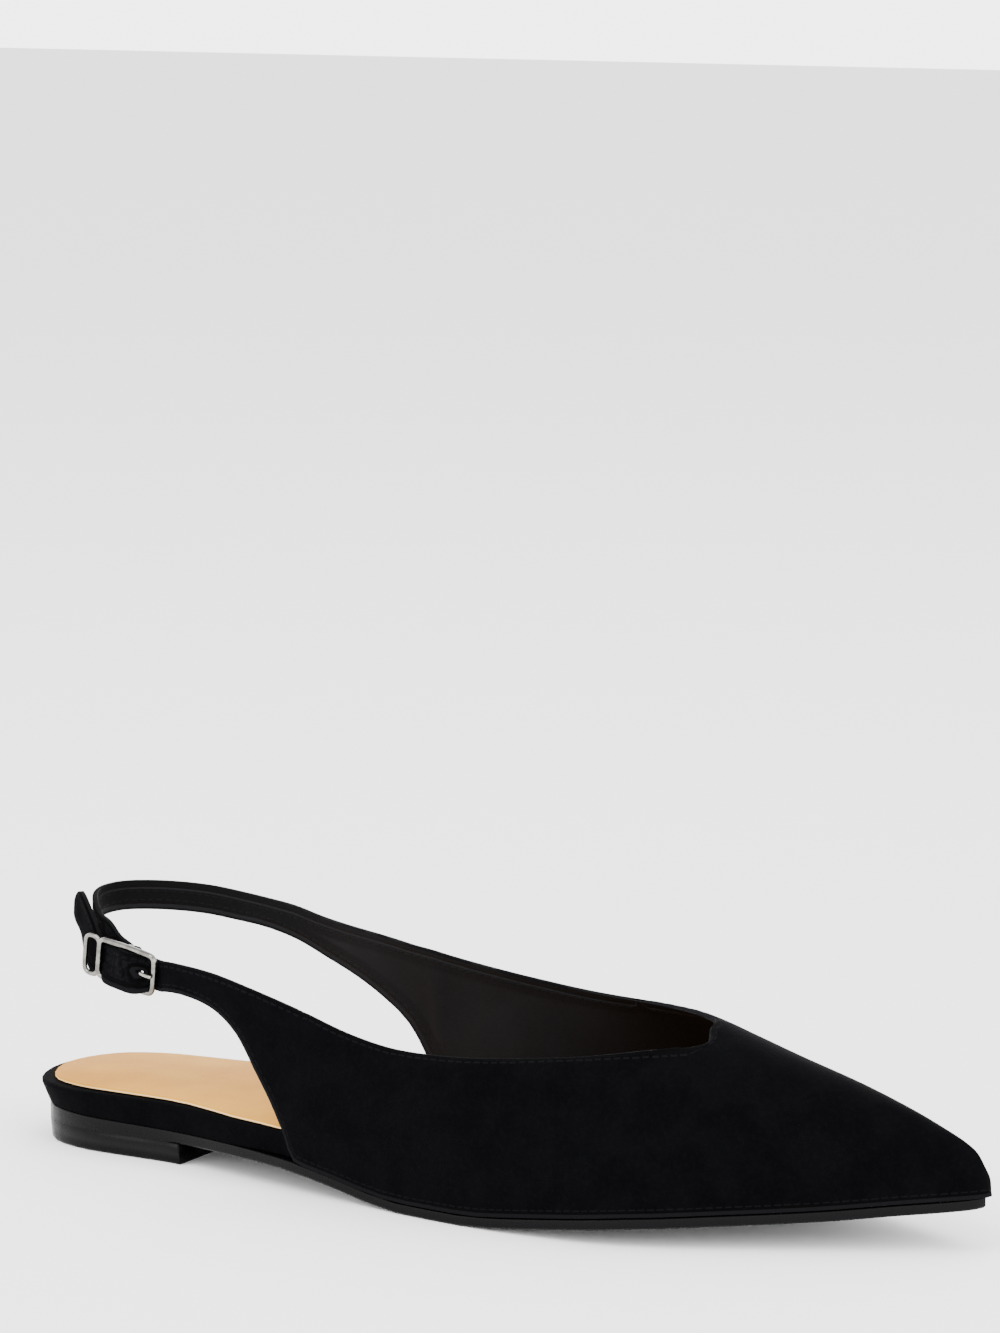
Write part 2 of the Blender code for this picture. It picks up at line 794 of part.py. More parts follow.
def make_upper(buckle):
    """Hollow shell of the upper with its straps: outer face, inner face and rounded edges."""
    grids = {}
    normals = {}
    for side in (NEAR, FAR):
        ribs, cuts = side_ribs(side, buckle)
        grids[side] = np.array([rib_points(rib, kept) for rib, kept in zip(ribs, cuts)])
        normals[side] = grid_normals(grids[side], side)
    nose = np.gradient(grids[NEAR][0], axis=0)
    for side in (NEAR, FAR):
        normals[side][0] = np.stack([nose[:, 2], 0.0 * nose[:, 1], -nose[:, 0]], axis=1)
    ridge = normals[NEAR][:FRONT_STEPS + 1, -1] + normals[FAR][:FRONT_STEPS + 1, -1]
    for side in (NEAR, FAR):
        normals[side][:FRONT_STEPS + 1, -1] = ridge
        normals[side][:FRONT_STEPS + THROAT_STEPS + 1, 0, 2] = 0.0
        normals[side] /= np.linalg.norm(normals[side], axis=2, keepdims=True)
    points = []
    faces = []
    names = {}
    for side in (NEAR, FAR):
        rows, columns = grids[side].shape[:2]
        for i in range(rows):
            for j in range(columns):
                twin = (i == 0 or (j == columns - 1 and i <= FRONT_STEPS)) and side == FAR
                if twin:
                    names[side, i, j] = names[NEAR, i, j]
                else:
                    names[side, i, j] = len(points)
                    points.append((grids[side][i, j], normals[side][i, j]))
        for i in range(rows - 1):
            for j in range(columns - 1):
                face = [names[side, i, j], names[side, i + 1, j],
                        names[side, i + 1, j + 1], names[side, i, j + 1]]
                faces.append(face)
    border = border_loop(grids, names)
    count = len(points)
    outer = [place for place, normal in points]
    inner = [place - normal * UPPER_WALL for place, normal in points]
    shell = [tuple(face) for face in faces]
    shell += [tuple(count + corner for corner in face) for face in faces]
    for k, here in enumerate(border):
        there = border[(k + 1) % len(border)]
        shell.append((here, there, count + there, count + here))
    return mesh_object("upper", outer + inner, shell, "black_suede")


def border_loop(grids, names):
    """Numbers of the points round the open border of the upper's face, in order."""
    loop = []
    rows, columns = grids[NEAR].shape[:2]
    loop += [names[NEAR, i, 0] for i in range(rows)]
    loop += [names[NEAR, rows - 1, j] for j in range(1, columns)]
    loop += [names[NEAR, i, columns - 1] for i in range(rows - 2, FRONT_STEPS - 1, -1)]
    rows = grids[FAR].shape[0]
    loop += [names[FAR, i, columns - 1] for i in range(FRONT_STEPS + 1, rows)]
    loop += [names[FAR, rows - 1, j] for j in range(columns - 2, -1, -1)]
    loop += [names[FAR, i, 0] for i in range(rows - 2, 0, -1)]
    return loop


def combine(piece, tool, operation):
    """Join another solid to a piece, or cut it out, and drop it."""
    change = piece.modifiers.new(operation.lower(), "BOOLEAN")
    change.operation = operation
    change.object = tool
    changed = bpy.data.meshes.new_from_object(
        piece.evaluated_get(bpy.context.evaluated_depsgraph_get()))
    piece.modifiers.clear()
    piece.data = changed
    bpy.data.objects.remove(tool, do_unlink=True)
    for face in changed.polygons:
        face.use_smooth = True


def tube(name, path, radius, flat_normal, closed, look):
    """Round wire along a path that lies in a plane."""
    count = len(path)
    points = []
    for i, place in enumerate(path):
        before = path[i - 1] if closed or i > 0 else place
        after = path[(i + 1) % count] if closed or i < count - 1 else place
        way = after - before
        way /= np.linalg.norm(way)
        side = np.cross(way, flat_normal)
        side /= np.linalg.norm(side)
        for k in range(WIRE_SIDES):
            angle = 2.0 * math.pi * (k + 0.5) / WIRE_SIDES
            points.append(place + (side * math.cos(angle) + flat_normal * math.sin(angle)) * radius)
    faces = []
    for i in range(count if closed else count - 1):
        there = (i + 1) % count
        for k in range(WIRE_SIDES):
            turn = (k + 1) % WIRE_SIDES
            faces.append((
                i * WIRE_SIDES + k, i * WIRE_SIDES + turn,
                there * WIRE_SIDES + turn, there * WIRE_SIDES + k,
            ))
    if not closed:
        faces.append(tuple(range(WIRE_SIDES)))
        faces.append(tuple((count - 1) * WIRE_SIDES + k for k in range(WIRE_SIDES)))
    return mesh_object(name, points, faces, look)


def loop_half_height():
    """Distance from the buckle's middle line to the axis of its rails."""
    return STRAP_WIDTH / 2.0 + STRAP_PLAY + BUCKLE_WIRE / 2.0


def wire_loop(name, buckle, start, end, wire):
    """Closed wire rectangle with round corners, between two places along the buckle."""
    middle = (start + end) / 2.0
    half_length = (end - start) / 2.0
    path = []
    for quarter in range(4):
        along = 1.0 if quarter in (0, 3) else -1.0
        above = 1.0 if quarter in (0, 1) else -1.0
        for k in range(4):
            angle = math.radians(90.0 * quarter + 30.0 * k)
            forward = middle + along * (half_length - BUCKLE_CORNER) + BUCKLE_CORNER * math.cos(angle)
            up = above * (loop_half_height() - BUCKLE_CORNER) + BUCKLE_CORNER * math.sin(angle)
            path.append(buckle.point(forward, up, 0.0))
    return tube(name, path, wire / 2.0, buckle.out, True, "nickel")


def make_buckle_frame(buckle):
    """Silver frame with a plain end loop, and the middle bar hung between its rails."""
    reach = half_buckle()
    frame = wire_loop("buckle_frame", buckle, -reach, reach, BUCKLE_WIRE)
    end_loop = wire_loop("end_loop", buckle, -reach - END_LOOP_LENGTH, -reach, BUCKLE_WIRE * 0.86)
    combine(frame, end_loop, "UNION")
    height = loop_half_height()
    depth = bar_depth()
    bend = BAR_DIAMETER
    path = [buckle.point(0.0, height, 0.0)]
    for side in (1.0, -1.0):
        turns = (0.0, 30.0, 60.0, 90.0) if side > 0.0 else (90.0, 60.0, 30.0, 0.0)
        for degrees in turns:
            angle = math.radians(degrees)
            up = side * (height - bend + bend * math.cos(angle))
            path.append(buckle.point(0.0, up, depth + bend - bend * math.sin(angle)))
    path.append(buckle.point(0.0, -height, 0.0))
    combine(frame, tube("middle_bar", path, BAR_DIAMETER / 2.0, buckle.forward, False, "nickel"), "UNION")
    return frame


def ring_radius():
    """Radius of the prong's ring, measured to the middle of its wire."""
    return BAR_DIAMETER / 2.0 + GAP + PRONG_DIAMETER / 2.0


def make_buckle_prong(buckle):
    """Prong that turns on the middle bar, comes up through the strap and rests on the front bar."""
    depth = bar_depth()
    ring = [buckle.point(ring_radius() * math.cos(2.0 * math.pi * k / 16), 0.0,
                         depth + ring_radius() * math.sin(2.0 * math.pi * k / 16)) for k in range(16)]
    prong = tube("buckle_prong", ring, PRONG_DIAMETER / 2.0, buckle.up, True, "nickel_prong")
    reach = half_buckle()
    over = BUCKLE_WIRE / 2.0 + GAP + PRONG_DIAMETER / 2.0
    under = depth + ring_radius() * 0.7
    path = []
    for share, height in PRONG_PATH:
        path.append(buckle.point(share * reach, 0.0, under + (over - under) * height))
    path.append(buckle.point(reach + PRONG_REACH, 0.0, over))
    combine(prong, tube("shank", path, PRONG_DIAMETER / 2.0, buckle.up, False, "nickel_prong"), "UNION")
    return prong


def round_tool(buckle, centre, axis, length, across, along):
    """Cylinder used as a cutter, given in the buckle's directions."""
    work = bmesh.new()
    bmesh.ops.create_cone(work, cap_ends=True, segments=16, radius1=1.0, radius2=1.0, depth=length)
    mesh = bpy.data.meshes.new("cutter")
    work.to_mesh(mesh)
    work.free()
    tool = bpy.data.objects.new("cutter", mesh)
    columns = {"out": (along * buckle.forward, across * buckle.up, buckle.out),
               "up": (along * buckle.forward, across * buckle.out, buckle.up)}[axis]
    turn = Matrix([[columns[k][row] for k in range(3)] + [centre[row]] for row in range(3)] + [[0, 0, 0, 1]])
    if turn.determinant() < 0.0:
        mesh.flip_normals()
    mesh.transform(turn)
    bpy.context.scene.collection.objects.link(tool)
    tool.hide_render = True
    tool.display_type = "WIRE"
    return tool


def joint_pad(buckle):
    """Small block that joins the near strap to the sling strap under it."""
    reach = half_buckle()
    points = []
    for share in (0.40, 0.52, 0.64):
        forward = -share * reach
        middle = (sling_out(forward) + billet_out(forward) - UPPER_WALL) / 2.0
        for up, out in ((-0.15, -1.0), (0.32, -1.0), (0.32, 1.0), (-0.15, 1.0)):
            points.append(buckle.point(forward, up * STRAP_WIDTH, middle + out * UPPER_WALL * 0.35))
    faces = [(0, 1, 2, 3), (8, 9, 10, 11)]
    for row in (0, 4):
        for k in range(4):
            turn = (k + 1) % 4
            faces.append((row + k, row + turn, row + 4 + turn, row + 4 + k))
    return mesh_object("joint_pad", points, faces, "black_suede")


def finish_straps(upper, buckle):
    """Join the two straps, and cut the prong's hole and the slot for its ring."""
    combine(upper, joint_pad(buckle), "UNION")
    reach = half_buckle()
    place = reach * PRONG_HOLE
    hole = round_tool(buckle, buckle.point(place, 0.0, billet_out(place) - UPPER_WALL / 2.0), "out",
                      UPPER_WALL * 2.4, PRONG_DIAMETER * 0.85, PRONG_DIAMETER * 1.65)
    combine(upper, hole, "DIFFERENCE")
    radius = wrap_radius() + GAP / 2.0
    slot = round_tool(buckle, buckle.point(0.0, 0.0, bar_depth()), "up",
                      PRONG_DIAMETER + 3.0 * GAP, radius, radius)
    combine(upper, slot, "DIFFERENCE")


def move_origin():
    """Put the origin at the middle of the heel block's flat face."""
    middle = HEEL_LENGTH / 2.0
    shift = Matrix.Translation((-middle, -sole_centre(middle / SHOE_LENGTH), 0.0))
    for piece in bpy.data.objects:
        piece.data.transform(shift)


def main():
    """Build every piece of the shoe."""
    clear_scene()
    buckle = BuckleFrame()
    make_outsole()
    make_heel()
    make_footbed()
    make_sock()
    upper = make_upper(buckle)
    finish_straps(upper, buckle)
    make_buckle_frame(buckle)
    make_buckle_prong(buckle)
    move_origin()


main()
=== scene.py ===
"""Looks of a right sling back flat in black suede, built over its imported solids.

Every solid keeps its place and size. The upper, the footbed, the sock, the sole, the heel and the
buckle are each dressed in their own class, and the studio round them is a class as well.
"""

import logging
import math
from contextlib import contextmanager
from dataclasses import dataclass
from enum import Enum
from typing import Iterator, Optional, Sequence

import bpy
import numpy as np
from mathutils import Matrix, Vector
from mathutils.kdtree import KDTree


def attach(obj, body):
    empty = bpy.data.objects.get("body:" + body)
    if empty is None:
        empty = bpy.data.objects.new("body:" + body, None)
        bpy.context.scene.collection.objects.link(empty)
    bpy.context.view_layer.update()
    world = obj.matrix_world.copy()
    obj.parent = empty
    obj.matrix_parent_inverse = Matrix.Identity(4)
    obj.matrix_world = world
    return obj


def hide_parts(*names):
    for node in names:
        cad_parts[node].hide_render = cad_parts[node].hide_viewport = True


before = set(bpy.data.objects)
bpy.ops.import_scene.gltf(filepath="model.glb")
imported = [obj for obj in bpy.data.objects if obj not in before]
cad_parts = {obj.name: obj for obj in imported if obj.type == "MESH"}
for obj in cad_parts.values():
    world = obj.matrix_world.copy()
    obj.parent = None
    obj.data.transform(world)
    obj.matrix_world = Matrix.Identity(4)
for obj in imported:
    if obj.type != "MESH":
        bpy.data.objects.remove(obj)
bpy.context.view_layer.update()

logging.basicConfig(level=logging.INFO, format="%(name)s: %(message)s")
log = logging.getLogger("sling_back_flat")

MM = 0.001
STITCH_STEP = 2.3
STITCH_SHARE = (0.06, 0.16, 0.76, 0.86)
SHARP_EDGE = math.radians(28)


class Face(Enum):
    """Which side of the upper's wall a face belongs to."""

    OUTSIDE = 0
    LINING = 1
    EDGE = 2


def linear(code: str) -> tuple[float, float, float, float]:
    """Turn an sRGB hex code into a linear colour.

    Args:
        code: Six hex digits.

    Returns:
        Linear red, green and blue with full alpha.
    """
    parts = [int(code[i:i + 2], 16) / 255.0 for i in (0, 2, 4)]
    values = [c / 12.92 if c <= 0.04045 else ((c + 0.055) / 1.055) ** 2.4 for c in parts]
    return (values[0], values[1], values[2], 1.0)


def per_mm(size: float) -> float:
    """Texture scale that makes a pattern repeat every so many millimetres.

    Args:
        size: Size of one repeat in millimetres.

    Returns:
        Scale for a texture that reads metres.
    """
    return 1.0 / (size * MM)


class Recipe:
    """Node tree of one material, with short ways to add and join nodes."""

    def __init__(self, name: str) -> None:
        """Start a material.

        Args:
            name: Name of the material.
        """
        self.material = bpy.data.materials.new(name)
        self.material.use_nodes = True
        self.tree = self.material.node_tree
        self.shader = self.tree.nodes["Principled BSDF"]
        self.place = self.add("ShaderNodeTexCoord").outputs["Object"]

    def add(self, kind: str, links: Optional[dict] = None, **settings) -> bpy.types.Node:
        """Add a node.

        Args:
            kind: Blender's name of the node.
            links: Values or sockets for its inputs, by name or number.
            settings: Properties of the node itself.

        Returns:
            The new node.
        """
        node = self.tree.nodes.new(kind)
        for key, value in settings.items():
            setattr(node, key, value)
        for key, value in (links or {}).items():
            if isinstance(value, bpy.types.NodeSocket):
                self.tree.links.new(value, node.inputs[key])
            else:
                node.inputs[key].default_value = value
        return node

    def noise(self, size: float, detail: float = 2.0, rough: float = 0.5) -> bpy.types.NodeSocket:
        """Noise of a given grain size in millimetres.

        Args:
            size: Grain size.
            detail: Octaves.
            rough: Strength of the finer octaves.

        Returns:
            The value socket.
        """
        links = {"Vector": self.place, "Scale": per_mm(size), "Detail": detail, "Roughness": rough}
        return self.add("ShaderNodeTexNoise", links).outputs[0]

    def spread(self, value: bpy.types.NodeSocket, low: float, high: float,
               start: float = 0.0, end: float = 1.0) -> bpy.types.NodeSocket:
        """Stretch a value between two limits.

        Args:
            value: What is read.
            low: Value that becomes start.
            high: Value that becomes end.
            start: First result.
            end: Last result.

        Returns:
            The result's socket.
        """
        links = {0: value, 1: low, 2: high, 3: start, 4: end}
        return self.add("ShaderNodeMapRange", links, interpolation_type="SMOOTHSTEP").outputs[0]

    def math(self, operation: str, a, b=0.0) -> bpy.types.NodeSocket:
        """Work out one sum.

        Args:
            operation: Blender's name of the sum.
            a: First value or socket.
            b: Second value or socket.

        Returns:
            The result's socket.
        """
        return self.add("ShaderNodeMath", {0: a, 1: b}, operation=operation).outputs[0]

    def mix(self, share: bpy.types.NodeSocket, first, second) -> bpy.types.NodeSocket:
        """Blend two colours.

        Args:
            share: Share of the second colour.
            first: Colour or socket.
            second: Colour or socket.

        Returns:
            The blended colour's socket.
        """
        node = self.add("ShaderNodeMix", {0: share, 6: first, 7: second}, data_type="RGBA")
        return node.outputs[2]

    def attribute(self, name: str) -> bpy.types.NodeSocket:
        """Value that the mesh carries under a name."""
        return self.add("ShaderNodeAttribute", attribute_name=name).outputs["Fac"]

    def between(self, value: bpy.types.NodeSocket,
                limits: tuple[float, float, float, float]) -> bpy.types.NodeSocket:
        """Mark where a value lies in a band with soft sides.

        Args:
            value: What is read.
            limits: Start and end of the rise, then start and end of the fall.

        Returns:
            The mark's socket, one inside the band.
        """
        rise_from, rise_to, fall_from, fall_to = limits
        rise = self.spread(value, rise_from, rise_to)
        return self.math("MULTIPLY", rise, self.spread(value, fall_to, fall_from))

    def stitches(self, away: bpy.types.NodeSocket,
                 limits: tuple[float, float, float, float]) -> bpy.types.NodeSocket:
        """Mark a row of stitches along the edge.

        Args:
            away: Distance from the edge in millimetres.
            limits: Soft sides of the row, as for a band.

        Returns:
            The mark's socket, one on a stitch.
        """
        step = self.math("FRACT", self.math("DIVIDE", self.attribute("edge_run"), STITCH_STEP))
        return self.math("MULTIPLY", self.between(away, limits), self.between(step, STITCH_SHARE))

    def bump(self, height: bpy.types.NodeSocket, depth: float, strength: float,
             under: Optional[bpy.types.NodeSocket] = None) -> bpy.types.NodeSocket:
        """Raise a height over the surface.

        Args:
            height: Height from 0 to 1.
            depth: Real depth in millimetres.
            strength: Share of the depth that shows.
            under: Normal of the layer below.

        Returns:
            The new normal's socket.
        """
        links = {"Height": height, "Distance": depth * MM, "Strength": strength}
        if under is not None:
            links["Normal"] = under
        return self.add("ShaderNodeBump", links).outputs[0]

    def finish(self, sockets: dict) -> bpy.types.Material:
        """Join or set the shader's sockets.

        Args:
            sockets: Values or sockets by the name of the shader's input.

        Returns:
            The finished material.
        """
        for key, value in sockets.items():
            if isinstance(value, bpy.types.NodeSocket):
                self.tree.links.new(value, self.shader.inputs[key])
            else:
                self.shader.inputs[key].default_value = value
        return self.material


@dataclass(frozen=True)
class SuedeFinish:
    """Brushed suede with a short nap, soft mottling and turned edges."""

    name: str
    slot: str
    dark: str
    light: str
    nap: float = 0.34
    mottle: float = 9.0
    edged: bool = False

    def build(self) -> bpy.types.Material:
        """Make the material."""
        recipe = Recipe(self.name)
        nap = recipe.noise(self.nap, 3.0, 0.62)
        fleck = recipe.noise(self.nap * 3.4, 2.0, 0.55)
        mottle = recipe.noise(self.mottle, 4.0, 0.60)
        share = recipe.math("ADD", recipe.spread(mottle, 0.36, 0.66, 0.0, 0.50),
                            recipe.spread(fleck, 0.42, 0.74, 0.0, 0.38))
        colour = recipe.mix(share, linear(self.dark), linear(self.light))
        height = recipe.math("ADD", recipe.math("MULTIPLY", nap, 0.7), recipe.math("MULTIPLY", fleck, 0.5))
        normal = recipe.bump(height, 0.16, 0.55)
        if self.edged:
            away = recipe.attribute("edge_distance")
            fold_painted_light = recipe.between(away, (0.95, 1.10, 1.28, 1.45))
            # Painted highlight: the outermost millimetre of the turned edge is lightened toward 141416,
            # standing for light caught on the rolled edge.
            band = recipe.spread(away, 1.15, 0.95)
            colour = recipe.mix(recipe.math("MULTIPLY", band, 0.5), colour, linear("141416"))
            # Painted shade: the fold line just inside the edge is darkened toward 020202, shade of the
            # crease painted into the colour; the bump below also sinks it.
            colour = recipe.mix(recipe.math("MULTIPLY", fold_painted_light, 0.70), colour, linear("020202"))
            thread = recipe.stitches(away, (1.62, 1.78, 1.96, 2.12))
            colour = recipe.mix(recipe.math("MULTIPLY", thread, 0.4), colour, linear("121214"))
            relief = recipe.math("SUBTRACT", recipe.math("MULTIPLY", thread, 0.6), fold_painted_light)
            normal = recipe.bump(relief, 0.30, 0.8, normal)
        return recipe.finish({
            "Base Color": colour, "Roughness": recipe.spread(nap, 0.2, 0.8, 0.82, 0.97), "Normal": normal,
            "Specular IOR Level": 0.02, "Sheen Weight": 0.010, "Sheen Roughness": 0.45,
            "Sheen Tint": linear("8d8f9c"),
        })


@dataclass(frozen=True)
class SmoothLeatherFinish:
    """Smooth leather with a fine pebble grain and a faint cloud in its colour."""

    name: str
    slot: str
    dark: str
    light: str
    roughness: float = 0.5
    grain: float = 0.55
    depth: float = 0.05
    cloud: float = 26.0
    shine: float = 0.4
    banded: bool = False

    def build(self) -> bpy.types.Material:
        """Make the material."""
        recipe = Recipe(self.name)
        links = {"Vector": recipe.place, "Scale": per_mm(self.grain)}
        pebble = recipe.add("ShaderNodeTexVoronoi", links, feature="SMOOTH_F1").outputs[0]
        pores = recipe.noise(self.grain * 0.6, 3.0)
        cloud = recipe.noise(self.cloud, 3.0)
        colour = recipe.mix(recipe.spread(cloud, 0.34, 0.68), linear(self.dark), linear(self.light))
        normal = recipe.bump(recipe.math("ADD", pebble, pores), self.depth, 0.5)
        if self.banded:
            away = recipe.attribute("edge_distance")
            forward = recipe.add("ShaderNodeSeparateXYZ", {0: recipe.place}).outputs[0]
            # Painted shade: the lining darkens toward 010102 from 105 mm to 150 mm forward, shade deep
            # inside the toe painted into the colour.
            toe_shade = recipe.spread(forward, 105.0 * MM, 150.0 * MM, 0.0, 0.8)
            colour = recipe.mix(toe_shade, colour, linear("010102"))
            wing = recipe.spread(forward, 30.0 * MM, 60.0 * MM, 1.0, 0.35)
            band = recipe.math("MULTIPLY", recipe.spread(away, 5.6, 4.4), wing)
            colour = recipe.mix(band, colour, linear("020203"))
            fold_painted_light = recipe.between(away, (1.60, 1.80, 2.10, 2.35))
            thread = recipe.stitches(away, (2.65, 2.78, 2.98, 3.12))
            colour = recipe.mix(recipe.math("MULTIPLY", thread, 0.25), colour, linear("141417"))
            # Painted highlight: a thin line along the fold, about 2 mm in from the edge, is lightened toward
            # 1e1e21.
            colour = recipe.mix(recipe.math("MULTIPLY", fold_painted_light, 0.40), colour, linear("1e1e21"))
            normal = recipe.bump(recipe.math("SUBTRACT", thread, fold_painted_light), 0.30, 0.7, normal)
        rough = recipe.spread(pores, 0.25, 0.75, self.roughness - 0.07, self.roughness + 0.07)
        return recipe.finish({
            "Base Color": colour, "Roughness": rough, "Normal": normal, "Specular IOR Level": self.shine,
        })


@dataclass(frozen=True)
class GlossFinish:
    """Polished moulded sole with a faint ripple and fine handling marks."""

    name: str
    slot: str
    colour: str
    worn: str
    roughness: float = 0.16
    shine: float = 0.045
    tread: bool = False

    def build(self) -> bpy.types.Material:
        """Make the material."""
        recipe = Recipe(self.name)
        ripple = recipe.noise(14.0, 2.0)
        marks = recipe.noise(0.8, 4.0, 0.7)
        worn = recipe.spread(marks, 0.55, 0.80, 0.0, 0.45)
        colour = recipe.mix(worn, linear(self.colour), linear(self.worn))
        normal = recipe.bump(ripple, 0.30, 0.35)
        if self.tread:
            links = {"Vector": recipe.place, "Scale": per_mm(2.1), "Randomness": 0.25}
            studs = recipe.add("ShaderNodeTexVoronoi", links, feature="DISTANCE_TO_EDGE").outputs[0]
            normal = recipe.bump(recipe.spread(studs, 0.04, 0.16), 0.30, 0.8, normal)
        rough = recipe.spread(marks, 0.35, 0.75, self.roughness, self.roughness + 0.14)
        return recipe.finish({
            "Base Color": colour, "Roughness": rough, "Normal": normal, "Specular IOR Level": self.shine,
            "Coat Weight": 0.0 if self.tread else 0.012, "Coat Roughness": 0.12,
        })


@dataclass(frozen=True)
class PlatedMetalFinish:
    """Polished nickel plate with hair-fine polishing lines."""

    name: str
    slot: str
    colour: str
    shade: str

    def build(self) -> bpy.types.Material:
        """Make the material."""
        recipe = Recipe(self.name)
        haze = recipe.noise(2.4, 3.0)
        links = {"Vector": recipe.place, "Scale": (1.0, 9.0, 9.0)}
        stretch = recipe.add("ShaderNodeMapping", links).outputs[0]
        lines = recipe.add("ShaderNodeTexNoise", {"Vector": stretch, "Scale": per_mm(1.6)}).outputs[0]
        colour = recipe.mix(recipe.spread(haze, 0.3, 0.7), linear(self.colour), linear(self.shade))
        return recipe.finish({
            "Base Color": colour, "Metallic": 1.0, "Roughness": recipe.spread(lines, 0.3, 0.7, 0.13, 0.26),
            "Normal": recipe.bump(lines, 0.015, 0.5),
        })


SUEDE = SuedeFinish("Suede brushed black", "black_suede", "020203", "050506", edged=True)
BINDING = SuedeFinish("Suede wrapped black", "suede_binding", "020203", "050506")
LINING = SmoothLeatherFinish("Leather smooth charcoal", "black_suede", "0d0d0f", "121214", 0.62, 0.6, 0.05,
                             shine=0.06, banded=True)
SOCK = SmoothLeatherFinish("Leather smooth beige", "beige_sock", "aa741f", "ba842c", 0.50, 0.7, 0.04,
                           shine=0.03)
SOCK_EDGE = SmoothLeatherFinish("Leather cut pale", "beige_sock", "d2aa70", "dcb884", 0.6, 0.4, 0.06,
                                shine=0.05)
SOLE = GlossFinish("Polymer polished black", "glossy_sole", "040405", "080809", 0.24, 0.065)
TREAD = GlossFinish("Polymer pebbled black", "glossy_sole", "101012", "222225", 0.45, tread=True)
HEEL = GlossFinish("Polymer lacquered black", "glossy_heel", "040405", "080809", 0.24, 0.065)
NICKEL = PlatedMetalFinish("Nickel polished", "nickel", "85837e", "64625e")
PRONG = PlatedMetalFinish("Nickel drawn", "nickel_prong", "93918b", "787671")


def drop_selection() -> None:
    """Deselect every object."""
    bpy.ops.object.select_all(action="DESELECT")


def choose(piece: bpy.types.Object) -> None:
    """Select one piece alone and make it active.

    Args:
        piece: The piece.
    """
    drop_selection()
    piece.select_set(True)
    bpy.context.view_layer.objects.active = piece


@contextmanager
def editing(piece: bpy.types.Object, what: str = "FACE") -> Iterator[None]:
    """Edit one piece with everything else deselected.

    Args:
        piece: The piece.
        what: VERT, EDGE or FACE selection.

    Yields:
        Nothing; the piece is in edit mode meanwhile.
    """
    choose(piece)
    bpy.ops.object.mode_set(mode="EDIT")
    bpy.ops.mesh.select_mode(type=what)
    yield
    bpy.ops.object.mode_set(mode="OBJECT")


def apply_modifier(piece: bpy.types.Object, kind: str, **settings) -> None:
    """Add a modifier and apply it.

    Args:
        piece: The piece.
        kind: Blender's name of the modifier.
        settings: Its properties.
    """
    choose(piece)
    change = piece.modifiers.new(kind.lower(), kind)
    for key, value in settings.items():
        setattr(change, key, value)
    bpy.ops.object.modifier_apply(modifier=change.name)


def copy_node(node: str, name: str) -> bpy.types.Object:
    """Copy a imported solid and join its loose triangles.

    Args:
        node: Name of the solid.
        name: Name of the new piece.

    Returns:
        The copy, which stands for the solid.
    """
    piece = bpy.data.objects.new(name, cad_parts[node].data.copy())
    bpy.context.scene.collection.objects.link(piece)
    piece.data.materials.clear()
    with editing(piece, "VERT"):
        bpy.ops.mesh.select_all(action="SELECT")
        bpy.ops.mesh.remove_doubles(threshold=0.00001)
        bpy.ops.mesh.tris_convert_to_quads(face_threshold=math.radians(40), shape_threshold=math.radians(60))
    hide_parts(node)
    return piece


def soften(piece: bpy.types.Object, width: float, segments: int = 3) -> None:
    """Round the sharp edges of a piece.

    Args:
        piece: The piece.
        width: Width of the rounding.
        segments: Steps across it.
    """
    apply_modifier(piece, "BEVEL", width=width, segments=segments, angle_limit=SHARP_EDGE)


def smooth(piece: bpy.types.Object, degrees: float) -> None:
    """Shade a piece smooth up to an angle.

    Args:
        piece: The piece.
        degrees: Sharpest angle that is still smooth.
    """
    choose(piece)
    bpy.ops.object.shade_smooth_by_angle(angle=math.radians(degrees))


def ease(value: float, low: float, high: float) -> float:
    """Smooth step from nought to one.

    Args:
        value: What is read.
        low: Value that gives nought.
        high: Value that gives one.

    Returns:
        The share from 0 to 1.
    """
    share = min(max((value - low) / (high - low), 0.0), 1.0)
    return share * share * (3.0 - 2.0 * share)


def tree_of(points: Sequence[Sequence[float]]) -> KDTree:
    """Search tree over points.

    Args:
        points: The points, in the order that the tree numbers them.

    Returns:
        The tree, ready to search.
    """
    tree = KDTree(len(points))
    for k, place in enumerate(points):
        tree.insert(place, k)
    tree.balance()
    return tree


def settle(piece: bpy.types.Object) -> bpy.types.Object:
    """Tie a finished piece to the shoe.

    Args:
        piece: The piece.

    Returns:
        The same piece.
    """
    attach(piece, "root")
    log.info("%s: %d faces", piece.name, len(piece.data.polygons))
    return piece


@dataclass
class BucklePlace:
    """Where the buckle sits on the outer strap, and its own directions."""

    origin: tuple[float, float, float] = (9.32 * MM, -23.58 * MM, 49.15 * MM)
    turn: float = math.radians(-13.2)
    slope: float = math.radians(-6.4)
    half_length: float = 9.9 * MM
    strap_half: float = 3.8 * MM
    strap_wall: float = 1.5 * MM
    under_bar: float = -1.05 * MM
    over_bar: float = 2.0 * MM
    hole: float = 5.1 * MM
    hole_core: float = 1.32 * MM
    hole_rim: float = 3.3 * MM
    hole_shut: float = 0.5

    def directions(self) -> tuple[Vector, Vector, Vector]:
        """Forward along the strap, up across it, and outward."""
        flat = Vector((math.cos(self.turn), math.sin(self.turn), 0.0))
        forward = flat * math.cos(self.slope) + Vector((0.0, 0.0, math.sin(self.slope)))
        out = Vector((math.sin(self.turn), -math.cos(self.turn), 0.0))
        up = out.cross(forward)
        return forward, up * math.copysign(1.0, up.z), out

    def strap_out(self, forward: float) -> float:
        """Height of the outer strap's face over the plane of the buckle's bars."""
        wave = math.cos(math.pi / 2.0 * min(abs(forward) / self.half_length, 1.0)) ** 2
        return self.under_bar + (self.over_bar - self.under_bar) * wave


